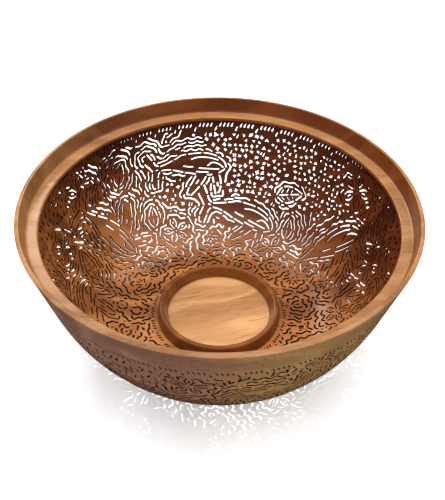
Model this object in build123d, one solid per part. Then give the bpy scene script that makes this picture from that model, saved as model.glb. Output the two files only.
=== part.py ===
from build123d import *
import os
from math import cos, sin, radians, degrees, hypot

# Pierced and turned wooden bowl, in millimetres, +Z up, origin under the middle of the foot.
# Four turned pieces, glued: the rim ring sits on the wall with a tongue in a groove, and the
# dish's spigot goes through the wall's base into the foot ring, which clamps the base.
# Profiles are (radius, height) outlines, turned about Z.

# ---- outside form
rim_radius = 152.0            # outer edge of the lip
lip_height = 125.4            # height of the lip's outer edge above the table
side_angle = radians(72.75)   # steepness of the straight upper side
side_length = 50.6            # length of the straight upper side
belly_radius = 160.0          # arc below the straight side
corner_angle = radians(54.0)  # steepness where the belly turns into the corner arc
corner_radius = 57.0          # arc that turns the side into the flat base
wall_thickness = 2.0
glue_gap = 0.05               # beside the tongue and the spigot

# ---- rim ring
joint_drop = 18.0             # glue line below the lip's outer edge
lip_width = 3.6
lip_rise = 1.0                # the lip's inner edge stands this much above its outer edge
lip_round = 0.8
rebate_depth = 11.5
rebate_slope = 3.1            # how far the rebate wall leans in over its depth
rebate_cove = 2.4
ledge_radius = 135.9          # inner edge of the ledge
bead_radius = 1.7             # round inner edge of the ledge
ledge_foot = 2.2              # slope under the ledge, where it meets the wall
tongue_width = 0.9
tongue_height = 3.0

# ---- centre dish
dish_rim_radius = 47.6        # crest of the dish's rim
dish_rim_height = 19.8
dish_rim_round = 2.0
dish_skirt_radius = 51.2
dish_skirt_height = 0.8
dish_floor_radius = 42.1
dish_floor_height = 9.1
dish_cove = 2.5
spigot_radius = 46.0
spigot_bottom = 2.7

# ---- foot ring
foot_radius = 52.0
foot_waist = 0.8
foot_chamfer = 0.8
foot_inner_radius = 46.8

# ---- piercings
slot_width = 1.4
cutter_depth = 12.0
slant = 23.0
groups = 49                   # groups of four drops round the top of the wall
drops_per_group = 4
drop_pitch = 3.45
drop_length = 4.2
drop_row = 24.5               # the row's middle, measured down the side from the lip
gap_drop = 3.4                # the single drop in each gap lies this much lower
base_groups = 24              # groups of four dashes in the floor round the dish
dashes_per_group = 4
dash_pitch = 2.9
dash_radius = 55.2
dash_length = 3.0


def side_point(distance, inset=0.0):
    """Point of the straight upper side, measured down from the lip, inset into the wall."""
    radius = rim_radius - distance * cos(side_angle) - inset * sin(side_angle)
    height = lip_height - distance * sin(side_angle) + inset * cos(side_angle)
    return radius, height


def arc_point(centre, radius, angle):
    """Point of a profile arc where the wall's steepness is the given angle."""
    return centre[0] + radius * sin(angle), centre[1] - radius * cos(angle)


def arc_centre(point, radius, angle):
    """Centre of the profile arc that passes through a point at the given steepness."""
    return point[0] - radius * sin(angle), point[1] + radius * cos(angle)


belly_centre = arc_centre(side_point(side_length), belly_radius, side_angle)
corner_start = arc_point(belly_centre, belly_radius, corner_angle)
corner_centre = arc_centre(corner_start, corner_radius, corner_angle)
underside = corner_centre[1] - corner_radius
floor_height = underside + wall_thickness
joint_height = lip_height - joint_drop


def joint_radius(inset):
    """Radius of the wall at the height of the rim's glue line, inset into the wall."""
    return rim_radius - joint_drop * cos(side_angle) / sin(side_angle) - inset / sin(side_angle)


joint_outer = joint_radius(0)
joint_inner = joint_radius(wall_thickness)
tongue_radius = (joint_outer + joint_inner) / 2


def wall_line(inset, start):
    """Edges of the wall's profile from a start point on the side down to the flat base."""
    top = side_point(side_length, inset)
    belly_mid = arc_point(belly_centre, belly_radius - inset, (side_angle + corner_angle) / 2)
    turn = arc_point(belly_centre, belly_radius - inset, corner_angle)
    corner_mid = arc_point(corner_centre, corner_radius - inset, corner_angle / 2)
    base = arc_point(corner_centre, corner_radius - inset, 0)
    return [Line(start, top), ThreePointArc(top, belly_mid, turn),
            ThreePointArc(turn, corner_mid, base)]


def chain(points):
    """Straight edges through a list of points."""
    return [Line(a, b) for a, b in zip(points, points[1:])]


def turned(edges):
    """Solid of revolution about Z of a closed (radius, height) outline."""
    return revolve(Plane.XZ * make_face(Curve() + edges), axis=Axis.Z)


def circle_at(part, point):
    """The part's circular edge nearest to a (radius, height) point."""
    circles = part.edges().filter_by(GeomType.CIRCLE)
    return circles.sort_by(lambda e: hypot(e.radius - point[0], e.center().Z - point[1]))[0]


def make_rim_ring():
    lip_outer = (rim_radius, lip_height)
    lip_inner = (rim_radius - lip_width, lip_height + lip_rise)
    rebate_foot = (lip_inner[0] - rebate_slope, lip_height - rebate_depth)
    bead_x = ledge_radius + bead_radius
    bead_top = (bead_x, rebate_foot[1])
    bead_side = (ledge_radius, bead_top[1] - bead_radius)
    bead_bottom = (bead_x, bead_top[1] - 2 * bead_radius)
    groove = tongue_width / 2 + glue_gap
    groove_top = joint_height + tongue_height + glue_gap
    outline = chain([
        bead_bottom,
        (joint_inner - ledge_foot, bead_bottom[1]),
        (joint_inner, joint_height),
        (tongue_radius - groove, joint_height),
        (tongue_radius - groove, groove_top),
        (tongue_radius + groove, groove_top),
        (tongue_radius + groove, joint_height),
        (joint_outer, joint_height),
        lip_outer,
        lip_inner,
        rebate_foot,
        bead_top,
    ])
    ring = turned(outline + [ThreePointArc(bead_top, bead_side, bead_bottom)])
    ring = fillet(circle_at(ring, rebate_foot), rebate_cove)
    return fillet([circle_at(ring, lip_inner), circle_at(ring, lip_outer)], lip_round)


def make_wall_blank():
    socket = spigot_radius + glue_gap
    tongue_top = joint_height + tongue_height
    outer = wall_line(0, (joint_outer, joint_height))
    inner = wall_line(wall_thickness, (joint_inner, joint_height))
    base = chain([
        (corner_centre[0], underside),
        (socket, underside),
        (socket, floor_height),
        (corner_centre[0], floor_height),
    ])
    top = chain([
        (joint_inner, joint_height),
        (tongue_radius - tongue_width / 2, joint_height),
        (tongue_radius - tongue_width / 2, tongue_top),
        (tongue_radius + tongue_width / 2, tongue_top),
        (tongue_radius + tongue_width / 2, joint_height),
        (joint_outer, joint_height),
    ])
    return turned(outer + base + inner + top)


def slot_cutter(length):
    """Round-ended cutter, long enough to go through the wall."""
    return extrude(SlotOverall(length, slot_width), cutter_depth / 2, both=True)


def on_side(distance, turn):
    """Place on the straight side, X down the slope and Z into the wall."""
    radius, height = side_point(distance)
    return Rot(0, 0, turn) * Pos(radius, 0, height) * Rot(0, 180 - degrees(side_angle), 0)


def border_cuts():
    """The row of slanted drops under the rim, and the single drop in each of its gaps."""
    cutter = slot_cutter(drop_length)
    row_radius = side_point(drop_row)[0]
    cuts = []
    for group in range(groups):
        middle = 360.0 * group / groups
        for drop in range(drops_per_group):
            shift = (drop - (drops_per_group - 1) / 2) * drop_pitch
            cuts.append(on_side(drop_row, middle + degrees(shift / row_radius)) * Rot(0, 0, slant) * cutter)
        cuts.append(on_side(drop_row + gap_drop, middle + 180.0 / groups) * Rot(0, 0, -slant) * cutter)
    return cuts


def base_cuts():
    """The groups of short slanted dashes in the floor round the dish."""
    cutter = slot_cutter(dash_length)
    cuts = []
    for group in range(base_groups):
        for dash in range(dashes_per_group):
            shift = (dash - (dashes_per_group - 1) / 2) * dash_pitch
            turn = 360.0 * group / base_groups + degrees(shift / dash_radius)
            cuts.append(Rot(0, 0, turn) * Pos(dash_radius, 0, underside) * Rot(0, 0, slant) * cutter)
    return cuts


def make_pierced_wall():
    return make_wall_blank() - (border_cuts() + base_cuts())


def make_centre_dish():
    crest = (dish_rim_radius, dish_rim_height)
    lip_outer = (dish_rim_radius + dish_rim_round, dish_rim_height - dish_rim_round)
    lip_inner = (dish_rim_radius - dish_rim_round, dish_rim_height - dish_rim_round)
    floor_edge = (dish_floor_radius, dish_floor_height)
    outside = chain([
        (0, spigot_bottom),
        (spigot_radius, spigot_bottom),
        (spigot_radius, floor_height),
        (dish_skirt_radius, floor_height),
        (dish_skirt_radius, floor_height + dish_skirt_height),
        lip_outer,
    ])
    inside = chain([lip_inner, floor_edge, (0, dish_floor_height), (0, spigot_bottom)])
    dish = turned(outside + [ThreePointArc(lip_outer, crest, lip_inner)] + inside)
    return fillet(circle_at(dish, floor_edge), dish_cove)


def make_foot_ring():
    bore = spigot_radius + glue_gap
    waist = ThreePointArc((foot_radius, underside), (foot_radius - foot_waist, underside / 2),
                          (foot_radius, foot_chamfer))
    outline = chain([
        (foot_radius, foot_chamfer),
        (foot_radius - foot_chamfer, 0),
        (foot_inner_radius, 0),
        (bore, foot_chamfer),
        (bore, underside),
        (foot_radius, underside),
    ])
    return turned([waist] + outline)


os.makedirs("parts", exist_ok=True)
pieces = {
    "rim_ring": make_rim_ring(),
    "pierced_wall": make_pierced_wall(),
    "centre_dish": make_centre_dish(),
    "foot_ring": make_foot_ring(),
}
for name, piece in pieces.items():
    export_step(piece, f"parts/{name}.step")
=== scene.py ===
import math

import bpy
import numpy as np
from mathutils import Matrix, Vector
from mathutils.geometry import delaunay_2d_cdt


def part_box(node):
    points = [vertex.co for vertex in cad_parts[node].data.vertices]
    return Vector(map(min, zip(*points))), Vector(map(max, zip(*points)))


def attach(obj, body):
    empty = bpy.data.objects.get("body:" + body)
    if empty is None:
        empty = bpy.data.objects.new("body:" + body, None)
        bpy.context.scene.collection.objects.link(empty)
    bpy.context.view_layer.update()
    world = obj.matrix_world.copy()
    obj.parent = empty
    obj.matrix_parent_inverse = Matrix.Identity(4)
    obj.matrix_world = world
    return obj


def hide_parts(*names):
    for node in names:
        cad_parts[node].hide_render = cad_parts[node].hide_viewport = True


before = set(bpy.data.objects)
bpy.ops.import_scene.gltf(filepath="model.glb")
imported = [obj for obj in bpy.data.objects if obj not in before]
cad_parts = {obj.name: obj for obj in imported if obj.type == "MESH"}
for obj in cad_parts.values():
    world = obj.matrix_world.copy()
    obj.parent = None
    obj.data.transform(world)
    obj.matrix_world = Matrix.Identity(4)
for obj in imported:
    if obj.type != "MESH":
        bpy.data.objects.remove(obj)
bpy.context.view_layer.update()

# Pierced and turned wooden bowl around its CAD frame. Shapes are worked out in millimetres and
# turned into metres where a mesh is made. The outline is the frame's; the piercing is drawn here.

MM = 0.001

# ---- bowl form, as the CAD has it
RIM_RADIUS, LIP_HEIGHT = 152.0, 125.4
SIDE_ANGLE, SIDE_LENGTH = math.radians(72.75), 50.6
BELLY_RADIUS = 160.0
CORNER_ANGLE, CORNER_RADIUS = math.radians(54.0), 57.0
WALL = 2.0
JOINT_DROP = 18.0
JOINT_HEIGHT = LIP_HEIGHT - JOINT_DROP
JOINT_DEPTH = JOINT_DROP / math.sin(SIDE_ANGLE)                 # along the side, from the lip
JOINT_OUTER = RIM_RADIUS - JOINT_DROP / math.tan(SIDE_ANGLE)
JOINT_INNER = JOINT_OUTER - WALL / math.sin(SIDE_ANGLE)
TONGUE_RADIUS = (JOINT_OUTER + JOINT_INNER) / 2
GLUE_GAP = 0.05
TONGUE_WIDTH, TONGUE_HEIGHT = 0.9, 3.0
SPIGOT_RADIUS, SPIGOT_BOTTOM = 46.0, 2.7
SOCKET_RADIUS = SPIGOT_RADIUS + GLUE_GAP

# ---- piercing
SLOT, LOW_SLOT = 1.4, 1.7       # width of a slot, and of the bolder ones low down and in front
BRIDGE = 1.3                    # wood between two slots of one drawn line
CELL = 0.6                      # clearance grid, plane units
REACH = 7.0                     # farthest clearance that the grid records
LONGEST_EDGE = 5.0              # longest straight edge of a slot, so that it follows the bowl
GUIDED = 22.0                   # how near an outline, in plane units, a grown line follows it
GROW_STEP = 0.8
TOP_DEPTH, BASE_DEPTH = 13, 146  # where the grown lines start and end, in mm below the joint
LOW_DEPTH = 100.0               # where the coral field starts, give or take its wavy edge
# motifs, each with its place first: degrees round the bowl and mm below the joint
# place, heading, length, bend, flip
WHALES = ((101, 38, 6, 62, -.35, 1), (78, 84, -6, 62, -.3, 1), (143, 76, -58, 64, .35, -1),
          (34, 80, 68, 66, -.35, 1), (345, 46, 12, 60, -.3, 1), (317, 88, -8, 60, -.3, 1),
          (284, 40, 10, 60, -.35, 1), (252, 84, 172, 60, .3, -1), (220, 74, -12, 60, -.3, 1),
          (186, 90, 24, 56, -.3, 1))
# place, radius, phase
FLOWERS = ((33, 27, 15, .3), (150, 29, 14, .1), (8, 62, 14, .5), (170, 50, 12.5, .2),
           (262, 30, 13, .4), (306, 54, 12, 0), (200, 60, 12, .3), (236, 106, 11, .2),
           (113, 100, 11, .4), (60, 112, 11, .1), (357, 104, 11, .3), (300, 112, 11, .5))
# place, length, width, heading
LEAVES = ((60, 60, 26, 15, 20), (165, 82, 30, 13, 75), (14, 30, 26, 12, 110), (131, 34, 22, 10, 65),
          (122, 82, 20, 9, 80), (327, 62, 24, 11, 100), (270, 62, 24, 11, 60), (240, 60, 24, 11, 80),
          (0, 84, 24, 11, 60), (56, 90, 20, 9, 100))
# place, length, heading
TURTLES = ((330, 28, 24, 140), (300, 24, 22, 30))
# fields: from and to in degrees round the bowl, then from and to in mm below the joint
DROP_FIELDS = ((160, 268, 0, 46), (337, 366, 0, 42), (-6, 27, 0, 42))
STAR_FIELDS = ((28, 98, 0, 74), (97, 113, 54, 80), (150, 160, 0, 40), (298, 332, 0, 66))


class Profile:
    """The wall's profile, from the glue line under the rim down to the socket, by arc length."""

    def __init__(self, step=0.25):
        pts = []
        for d in np.arange(JOINT_DEPTH, SIDE_LENGTH, step):
            pts.append((RIM_RADIUS - d * math.cos(SIDE_ANGLE), LIP_HEIGHT - d * math.sin(SIDE_ANGLE),
                        SIDE_ANGLE))
        r = RIM_RADIUS - SIDE_LENGTH * math.cos(SIDE_ANGLE)
        z = LIP_HEIGHT - SIDE_LENGTH * math.sin(SIDE_ANGLE)
        # belly, then the corner that turns it into the flat base
        for radius, first, last in ((BELLY_RADIUS, SIDE_ANGLE, CORNER_ANGLE),
                                    (CORNER_RADIUS, CORNER_ANGLE, 0)):
            r, z = r - radius * math.sin(first), z + radius * math.cos(first)
            for a in np.arange(first, last, -step / radius):
                pts.append((r + radius * math.sin(a), z - radius * math.cos(a), a))
            r, z = r + radius * math.sin(last), z - radius * math.cos(last)
        for r in np.append(np.arange(r, SOCKET_RADIUS, -step), SOCKET_RADIUS):
            pts.append((r, z, 0.0))
        p = np.array(pts)
        self.normal = np.stack([np.sin(p[:, 2]), -np.cos(p[:, 2])], -1)   # outward
        self.outer = p[:, :2]
        mid = self.outer - self.normal * WALL / 2
        seg = np.hypot(*np.diff(mid, axis=0).T)
        self.s = np.concatenate([[0], np.cumsum(seg)])
        self.r = mid[:, 0]
        dv = seg / ((self.r[1:] + self.r[:-1]) / 2)
        v = np.concatenate([[0], np.cumsum(dv)])
        self.v = v[-1] - v                     # 0 at the socket, rising to the rim
        self.rho = self.r[-1] * np.exp(self.v)
        self.k = self.r / self.rho             # real mm per plane unit

    def at(self, table, rho):
        return np.interp(rho, self.rho[::-1], table[::-1])

    def scale(self, rho):
        return self.at(self.k, rho)

    def below(self, depth, table):
        """What a table holds at a depth below the joint, in mm along the wall."""
        return float(np.interp(depth, self.s, table))


# ---- piercing pattern, drawn in a conformal plane: x, y = rho(cos, sin) of the turn angle

class Sheet:
    """The developed wall: holes placed so far, and the clearance to them on a grid."""

    def __init__(self, profile, rng):
        self.profile = profile
        self.rng = rng
        self.half = float(profile.rho[0]) + 6
        n = int(2 * self.half / CELL) + 1
        self.clear = np.full((n, n), REACH)
        self.holes = []
        axis = np.arange(n) * CELL - self.half
        radius = np.hypot(axis[:, None], axis[None, :])
        self.clear[(radius > profile.rho[0]) | (radius < profile.rho[-1])] = 0
        self.cut = self.clear.copy()
        self.depths = np.interp(radius, profile.rho[::-1], profile.s[::-1])

    def plane(self, turn, v):
        rho = self.profile.rho[-1] * np.exp(v)
        return np.stack([rho * np.cos(turn), rho * np.sin(turn)], -1)

    def spot(self, degrees_round, s):
        """Log-polar place (turn, v) of a spot given by its angle and its depth below the joint."""
        return math.radians(degrees_round), self.profile.below(s, self.profile.v)

    def local(self, place, points, heading=0.0):
        """Plane points of a drawing in mm at a place: x to the right as seen from inside, y to the rim."""
        turn, v = place
        r = float(np.interp(v, self.profile.v[::-1], self.profile.r[::-1]))
        p = np.asarray(points, float)
        c, s = math.cos(heading), math.sin(heading)
        a = (p[:, 0] * c - p[:, 1] * s) / r
        b = (p[:, 0] * s + p[:, 1] * c) / r
        return self.plane(turn - a, v + b)

    def drawing(self, place, size, heading=0.0, bend=0.0, middle=0.0, flip=1):
        """A function that puts points of a drawing of unit size on the sheet."""
        def draw(points):
            return self.local(place, (bent(points, bend) - (middle, 0)) * (1, flip) * size, heading)
        return draw

    def scale(self, p):
        return self.profile.scale(np.hypot(p[..., 0], p[..., 1]))

    def index(self, p):
        return ((p + self.half) / CELL + 0.5).astype(int)

    def clearance(self, p):
        i = self.index(p)
        return self.clear[i[..., 0], i[..., 1]]

    def depth(self, p):
        """Depth of a point below the joint, in mm along the wall."""
        i, j = self.index(p)
        return self.depths[i, j]

    def stamp(self, spine, half_width):
        """Records real distance to the points of a hole's spine, less its half width."""
        for q, k in zip(spine, self.scale(spine)):
            reach = int((REACH + half_width) / k / CELL) + 1
            i, j = self.index(q)
            i0, i1 = max(i - reach, 0), min(i + reach + 1, self.clear.shape[0])
            j0, j1 = max(j - reach, 0), min(j + reach + 1, self.clear.shape[1])
            x = (np.arange(i0, i1) * CELL - self.half - q[0]) * k
            y = (np.arange(j0, j1) * CELL - self.half - q[1]) * k
            d = np.sqrt(x[:, None] ** 2 + y[None, :] ** 2) - half_width
            for grid in (self.clear, self.cut):
                view = grid[i0:i1, j0:j1]
                np.minimum(view, d, out=view)

    def block(self, polygon):
        """Keeps a closed outline's inside free of filling."""
        lo, hi = self.index(polygon.min(0)) - 1, self.index(polygon.max(0)) + 2
        x = np.arange(lo[0], hi[0]) * CELL - self.half
        y = np.arange(lo[1], hi[1]) * CELL - self.half
        gx, gy = np.meshgrid(x, y, indexing="ij")
        inside = np.zeros(gx.shape, bool)
        a, b = polygon, np.roll(polygon, -1, 0)
        for (x0, y0), (x1, y1) in zip(a, b):
            if y0 == y1:
                continue
            crosses = (gy < y0) != (gy < y1)
            inside ^= crosses & (gx < x0 + (gy - y0) * (x1 - x0) / (y1 - y0))
        view = self.clear[lo[0]:hi[0], lo[1]:hi[1]]
        view[inside] = np.minimum(view[inside], 0)

    def add(self, outline, spine, half_width):
        self.holes.append(outline)
        self.stamp(spine, half_width)

    def slot(self, line, width=SLOT, bridge=0.85):
        """A slot with round ends along the longest stretch of a line that leaves wood beside it."""
        k = float(self.scale(line.mean(0)))
        fine = resample(line, 0.4 / k)
        i = self.index(fine)
        good = self.cut[i[:, 0], i[:, 1]] > bridge + width / 2
        edges = np.flatnonzero(np.diff(np.concatenate([[0], good, [0]])))
        if len(edges) == 0:
            return
        runs = edges.reshape(-1, 2)
        a, b = runs[(runs[:, 1] - runs[:, 0]).argmax()]
        if b - a < 2:
            return
        spine = fine[a:b]
        line = thin(spine, k)
        self.add(capsule(line, width / 2 / self.scale(line)), spine[::2], width / 2)

    def drop(self, line, width, point=0.35):
        """A drop-shaped slot, wide at the line's start and pointed at its end."""
        k = float(self.scale(line.mean(0)))
        half = np.linspace(width, point, len(line)) / 2 / k
        half[0] *= 0.8
        self.add(capsule(line, half), resample(line, 0.9 / k), width / 2.4)

    def spark(self, centre, size):
        """A ragged star hole with three or four unequal points."""
        rng = self.rng
        k = float(self.scale(centre))
        points = int(rng.choice((3, 4, 4)))
        a = rng.uniform(0, 2 * math.pi) + np.arange(2 * points) * math.pi / points
        a = a + rng.normal(0, 0.12, 2 * points)
        r = np.where(np.arange(2 * points) % 2, rng.uniform(0.36, 0.50, 2 * points), 1.0) * size
        r[::2] *= rng.uniform(0.70, 1.15, points)
        star = centre + np.stack([np.cos(a), np.sin(a)], -1) * r[:, None] / k
        self.add(star, centre[None], size * 0.7)

    def fits(self, line, gap, half_width):
        p = resample(line, 0.8 / self.scale(line.mean(0)))
        return bool((self.clearance(p) - half_width > gap).all())


def circle(radius, count):
    turn = np.arange(count) * 2 * math.pi / count
    return np.stack([np.cos(turn), np.sin(turn)], -1) * radius


def polar(radius, turn):
    return np.stack([radius * np.cos(turn), radius * np.sin(turn)], -1)


def resample(line, step):
    """The same line with its points a step apart."""
    d = np.hypot(*np.diff(line, axis=0).T)
    s = np.concatenate([[0], np.cumsum(d)])
    n = max(int(round(s[-1] / step)), 1) + 1
    t = np.linspace(0, s[-1], n)
    return np.stack([np.interp(t, s, line[:, 0]), np.interp(t, s, line[:, 1])], -1)


def thin(line, k, tolerance=0.1):
    """Drops points of a polyline that lie within the tolerance (mm) of its straight runs."""
    keep = np.zeros(len(line), bool)
    keep[[0, -1]] = True
    stack = [(0, len(line) - 1)]
    while stack:
        a, b = stack.pop()
        if b - a < 2:
            continue
        d = line[b] - line[a]
        n = math.hypot(*d)
        q = line[a + 1:b] - line[a]
        off = np.abs(d[0] * q[:, 1] - d[1] * q[:, 0]) / n if n > 1e-9 else np.hypot(*q.T)
        i = int(off.argmax())
        if n * k > LONGEST_EDGE:
            i = (b - a) // 2 - 1
        if off[i] * k > tolerance or n * k > LONGEST_EDGE:
            keep[a + 1 + i] = True
            stack += [(a, a + 1 + i), (a + 1 + i, b)]
    return line[keep]


def capsule(line, half, cap=3):
    """Closed outline, counter-clockwise, of a polyline with round ends."""
    d = np.diff(line, axis=0)
    d /= np.hypot(d[:, 0], d[:, 1])[:, None]
    t = np.concatenate([d[:1], (d[:-1] + d[1:]), d[-1:]])
    t /= np.hypot(t[:, 0], t[:, 1])[:, None]
    cosine = np.ones(len(line))
    cosine[1:-1] = np.clip((t[1:-1] * d[:-1]).sum(1), 0.6, 1)
    n = np.stack([-t[:, 1], t[:, 0]], -1)
    off = n * (half / cosine)[:, None]
    right, left = line - off, line + off
    out = list(right)
    for i in range(1, cap):
        a = math.pi * i / cap
        out.append(line[-1] + half[-1] * (-n[-1] * math.cos(a) + t[-1] * math.sin(a)))
    out += list(left[::-1])
    for i in range(1, cap):
        a = math.pi * i / cap
        out.append(line[0] + half[0] * (n[0] * math.cos(a) - t[0] * math.sin(a)))
    return np.array(out)


def curve(points, n=8):
    """Catmull-Rom curve through the points."""
    p = np.asarray(points, float)
    p = np.concatenate([[2 * p[0] - p[1]], p, [2 * p[-1] - p[-2]]])
    t = np.linspace(0, 1, n, endpoint=False)[:, None]
    out = []
    for a, b, c, d in zip(p, p[1:], p[2:], p[3:]):
        out.append(0.5 * (2 * b + (c - a) * t + (2 * a - 5 * b + 4 * c - d) * t ** 2
                          + (3 * b - a - 3 * c + d) * t ** 3))
    out.append(p[-2:-1])
    return np.concatenate(out)


def bent(points, bend):
    """Bends a drawing along x; bend is the turn over unit length, in radians."""
    p = np.asarray(points, float)
    if abs(bend) < 1e-6:
        return p
    a = p[:, 0] * bend
    return np.stack([np.sin(a) / bend - p[:, 1] * np.sin(a),
                     (1 - np.cos(a)) / bend + p[:, 1] * np.cos(a)], -1)


def dashes(sheet, line, length, width=SLOT, bridge=BRIDGE, step=0.5):
    """Cuts a line into slots with wood bridges between them, each slot no longer than length."""
    k = sheet.scale(line.mean(0))
    fine = resample(line, step / k)
    total = (len(fine) - 1) * step
    count = max(int(math.ceil((total + bridge) / (length + bridge))), 1)
    run = (total - (count - 1) * (bridge + width)) / count
    for i in range(count):
        a = i * (run + bridge + width)
        piece = fine[int(a / step):int((a + run) / step) + 1]
        if len(piece) > 2:
            sheet.slot(piece, width)


def whale(sheet, place, size, heading, bend, flip):
    """A humpback in outline: body, flukes, two long fins, throat grooves and an eye."""
    x = np.array([0, .12, .26, .34, .5, .66, .80, .92, .98, 1.0])
    up = np.array([.03, .045, .085, .125, .14, .155, .14, .095, .045, .0])
    low = np.array([.03, .05, .10, .13, .165, .185, .165, .11, .05, .0])
    draw = sheet.drawing(place, size, heading, bend, 0.5, flip)

    def side(edge, a, b):
        xs = np.concatenate([[a], x[(x > a) & (x < b)], [b]])
        return np.stack([xs, np.interp(xs, x, edge)], -1)

    # leading and trailing edge of each limb
    near = ([(.73, -.18), (.68, -.29), (.58, -.41), (.46, -.51)],
            [(.38, -.48), (.42, -.39), (.49, -.30), (.55, -.20)])
    far = ([(.82, -.17), (.86, -.27), (.90, -.37), (.94, -.45)],
           [(1.0, -.41), (1.0, -.31), (.97, -.21), (.92, -.13)])
    fluke = ([(.0, .035), (-.05, .08), (-.08, .17), (-.12, .27)],
             [(-.20, .25), (-.19, .15), (-.15, .07), (-.12, .0)])
    other = tuple([(a, -b) for a, b in edge] for edge in fluke)
    limbs = (near, far, fluke, other)
    sheet.block(draw(np.concatenate([side(up, 0, 1), side(-low, 0, 1)[::-1]])))
    for lead, trail in limbs:
        sheet.block(draw(curve(lead + trail)))
    for edge in (side(up, .02, 1), side(-low, .02, .54), side(-low, .74, .81), side(-low, .92, 1)):
        dashes(sheet, draw(curve(edge)), 15)
    for lead, trail in limbs:
        dashes(sheet, draw(curve(lead)), 15)
        tip = [lead[-1], ((lead[-1][0] + trail[0][0]) / 2, (lead[-1][1] + trail[0][1]) / 2), trail[0]]
        dashes(sheet, draw(curve(tip + trail[1:])), 12)
    sheet.slot(draw(curve([(.97, -.02), (.88, .02), (.79, .025), (.73, -.03)])))
    sheet.slot(draw(curve([(.86, .075), (.74, .09), (.58, .085), (.48, .055)])))
    for f, a, b in ((.36, .90, .60), (.68, .86, .56)):
        xs = np.linspace(a, b, 5)
        sheet.slot(draw(curve(np.stack([xs, -f * np.interp(xs, x, low) - .015], -1))))
    sheet.slot(draw(curve([(.50, -.06), (.42, -.055), (.36, -.04)])))
    sheet.slot(draw([(.60, -.27), (.56, -.32)]))
    sheet.slot(draw([(.93, -.27), (.95, -.32)]))


def flower(sheet, place, radius, phase, petals=5):
    """An open flower: heart-shaped petals round a dotted middle."""
    draw = sheet.drawing(place, radius)
    sheet.block(draw(circle(.93, 40)))
    wide = 2.3 / petals
    side = curve([(.24, .07), (.42, .36 * wide), (.66, .52 * wide), (.88, .40 * wide), (.98, .12)])
    for i in range(petals):
        turn = phase + 2 * math.pi * i / petals
        c, s = math.cos(turn), math.sin(turn)
        m = np.array([[c, s], [-s, c]])
        for f in (1, -1):
            dashes(sheet, draw(side * (1, f) @ m), 13)
        sheet.slot(draw(np.array([(.40, 0), (.74, 0)]) @ m))
    sheet.slot(draw([(-.03, 0), (.03, 0)]), 1.5)


def leaf(sheet, place, length, width, heading, veins=4):
    """A pointed leaf with a midrib and slanting veins."""
    draw = sheet.drawing(place, length, heading, middle=0.5)
    w = width / length / 2
    along, half = [0, .2, .45, .75, 1], [0, w * .8, w, w * .62, 0]
    side = curve(np.stack([along, half], -1))
    sheet.block(draw(np.concatenate([side, (side * (1, -1))[::-1]])))
    for f in (1, -1):
        dashes(sheet, draw(side[1:-1] * (1, f)), 12)
    dashes(sheet, draw([(x, 0) for x in np.linspace(.12, .86, 20)]), 9, 1.1, 1.6)
    clear = 1.9 / length
    for i in range(veins):
        x = .2 + .55 * i / max(veins - 1, 1)
        for f in (1, -1):
            a, b = clear, np.interp(x + .1, along, half) - clear
            if b - a > .9 / length:
                sheet.slot(draw([(x, f * a), (x + .7 * (b - a) + .01, f * b)]), 1.0)


def turtle(sheet, place, size, heading):
    """A small turtle: ribbed oval shell, four flippers and a head."""
    draw = sheet.drawing(place, size, heading)
    a = np.linspace(0, 2 * math.pi, 49)
    shell = np.stack([.42 * np.cos(a), .33 * np.sin(a) * (1 + .08 * np.cos(a))], -1)
    sheet.block(draw(shell))
    dashes(sheet, draw(shell), 12)
    for x in (-.2, 0, .2):
        h = .2 * math.sqrt(1 - (x / .5) ** 2)
        sheet.slot(draw([(x, .05), (x + .03, h)]), 1.1)
        sheet.slot(draw([(x, -.05), (x + .03, -h)]), 1.1)
    fore = curve([(.3, .3), (.42, .5), (.30, .72), (.16, .78), (.2, .6), (.1, .38)])
    hind = curve([(-.3, .26), (-.42, .42), (-.56, .46), (-.5, .3), (-.4, .16)])
    for f in (1, -1):
        for limb in (fore, hind):
            sheet.block(draw(limb * (1, f)))
            dashes(sheet, draw(limb[2:-2] * (1, f)), 11)
    head = curve([(.42, .11), (.55, .13), (.66, .0), (.55, -.13), (.42, -.11)])
    sheet.block(draw(head))
    dashes(sheet, draw(head[2:-2]), 9)


def border(sheet, groups=49, drops=4, pitch=3.45, row=24.5, lower=3.4, length=3.3):
    """The row of slanted drops under the rim, and the single drop in each gap."""
    profile = sheet.profile
    v, v_low = (profile.below(depth - JOINT_DEPTH, profile.v) for depth in (row, row + lower))
    r = profile.below(row - JOINT_DEPTH, profile.r)
    lean = np.array([(-.18, -.5), (-.06, -.16), (.07, .16), (.24, .5)]) * length
    for g in range(groups):
        middle = 2 * math.pi * g / groups
        for d in range(drops):
            turn = middle + (d - (drops - 1) / 2) * pitch / r
            sheet.drop(sheet.local((turn, v), lean), 1.7)
        turn = middle + math.pi / groups
        sheet.drop(sheet.local((turn, v_low), lean * 1.2), 1.6)


def base_row(sheet, groups=24, slots=4, pitch=2.9, radius=55.2, length=3.0):
    """Groups of short slanted slots round the dish."""
    v = float(np.interp(radius, sheet.profile.r[::-1], sheet.profile.v[::-1]))
    lean = np.array([(-.35, -.5), (.35, .5)]) * (length - SLOT) * 1.1
    for g in range(groups):
        for d in range(slots):
            turn = 2 * math.pi * g / groups + (d - (slots - 1) / 2) * pitch / radius
            sheet.slot(sheet.local((turn, v), lean), 1.2)


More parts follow.
